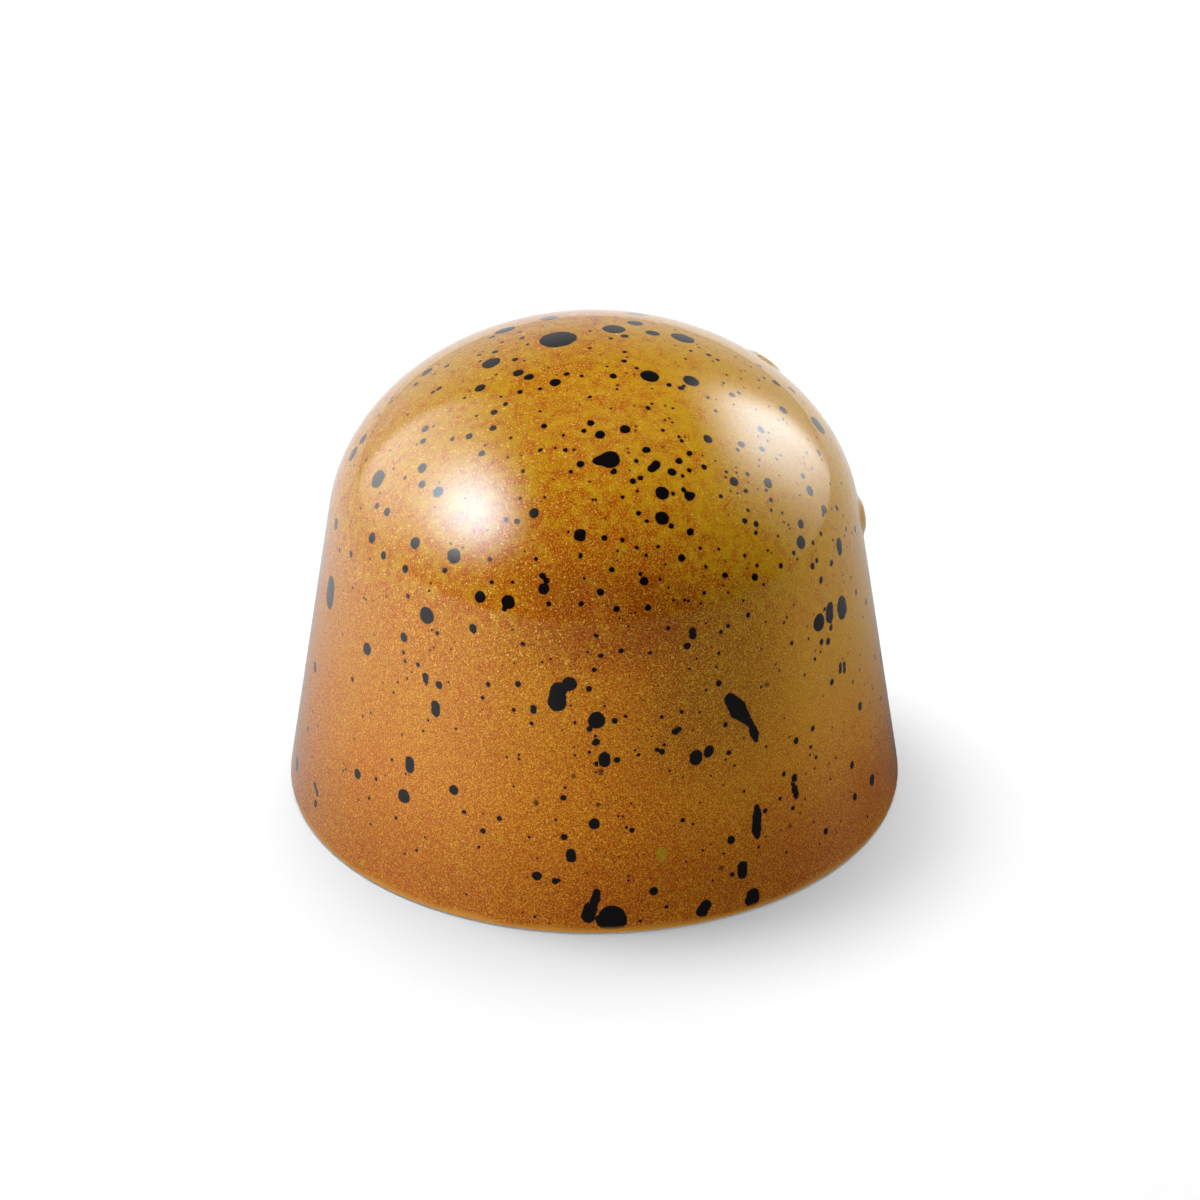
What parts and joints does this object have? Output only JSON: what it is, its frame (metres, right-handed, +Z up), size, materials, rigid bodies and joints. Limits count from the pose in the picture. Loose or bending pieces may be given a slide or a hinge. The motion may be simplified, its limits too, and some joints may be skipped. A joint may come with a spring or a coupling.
{
  "type": "chocolate praline",
  "caption": "Moulded chocolate praline: a tapered round body with a domed top and a flat base, under a glossy yellow and orange cocoa butter coat with black speckles.",
  "frame": {"origin": "centre of the flat base, on the surface that the praline stands on", "axes": "+Z up along the axis of the mould's round form; -Y towards the side that the picture shows"},
  "size_m": [0.028, 0.028, 0.0215],
  "materials": {
    "coat": "glossy"
  },
  "bodies": {
    "root": {"praline": "coat"}
  },
  "joints": []
}
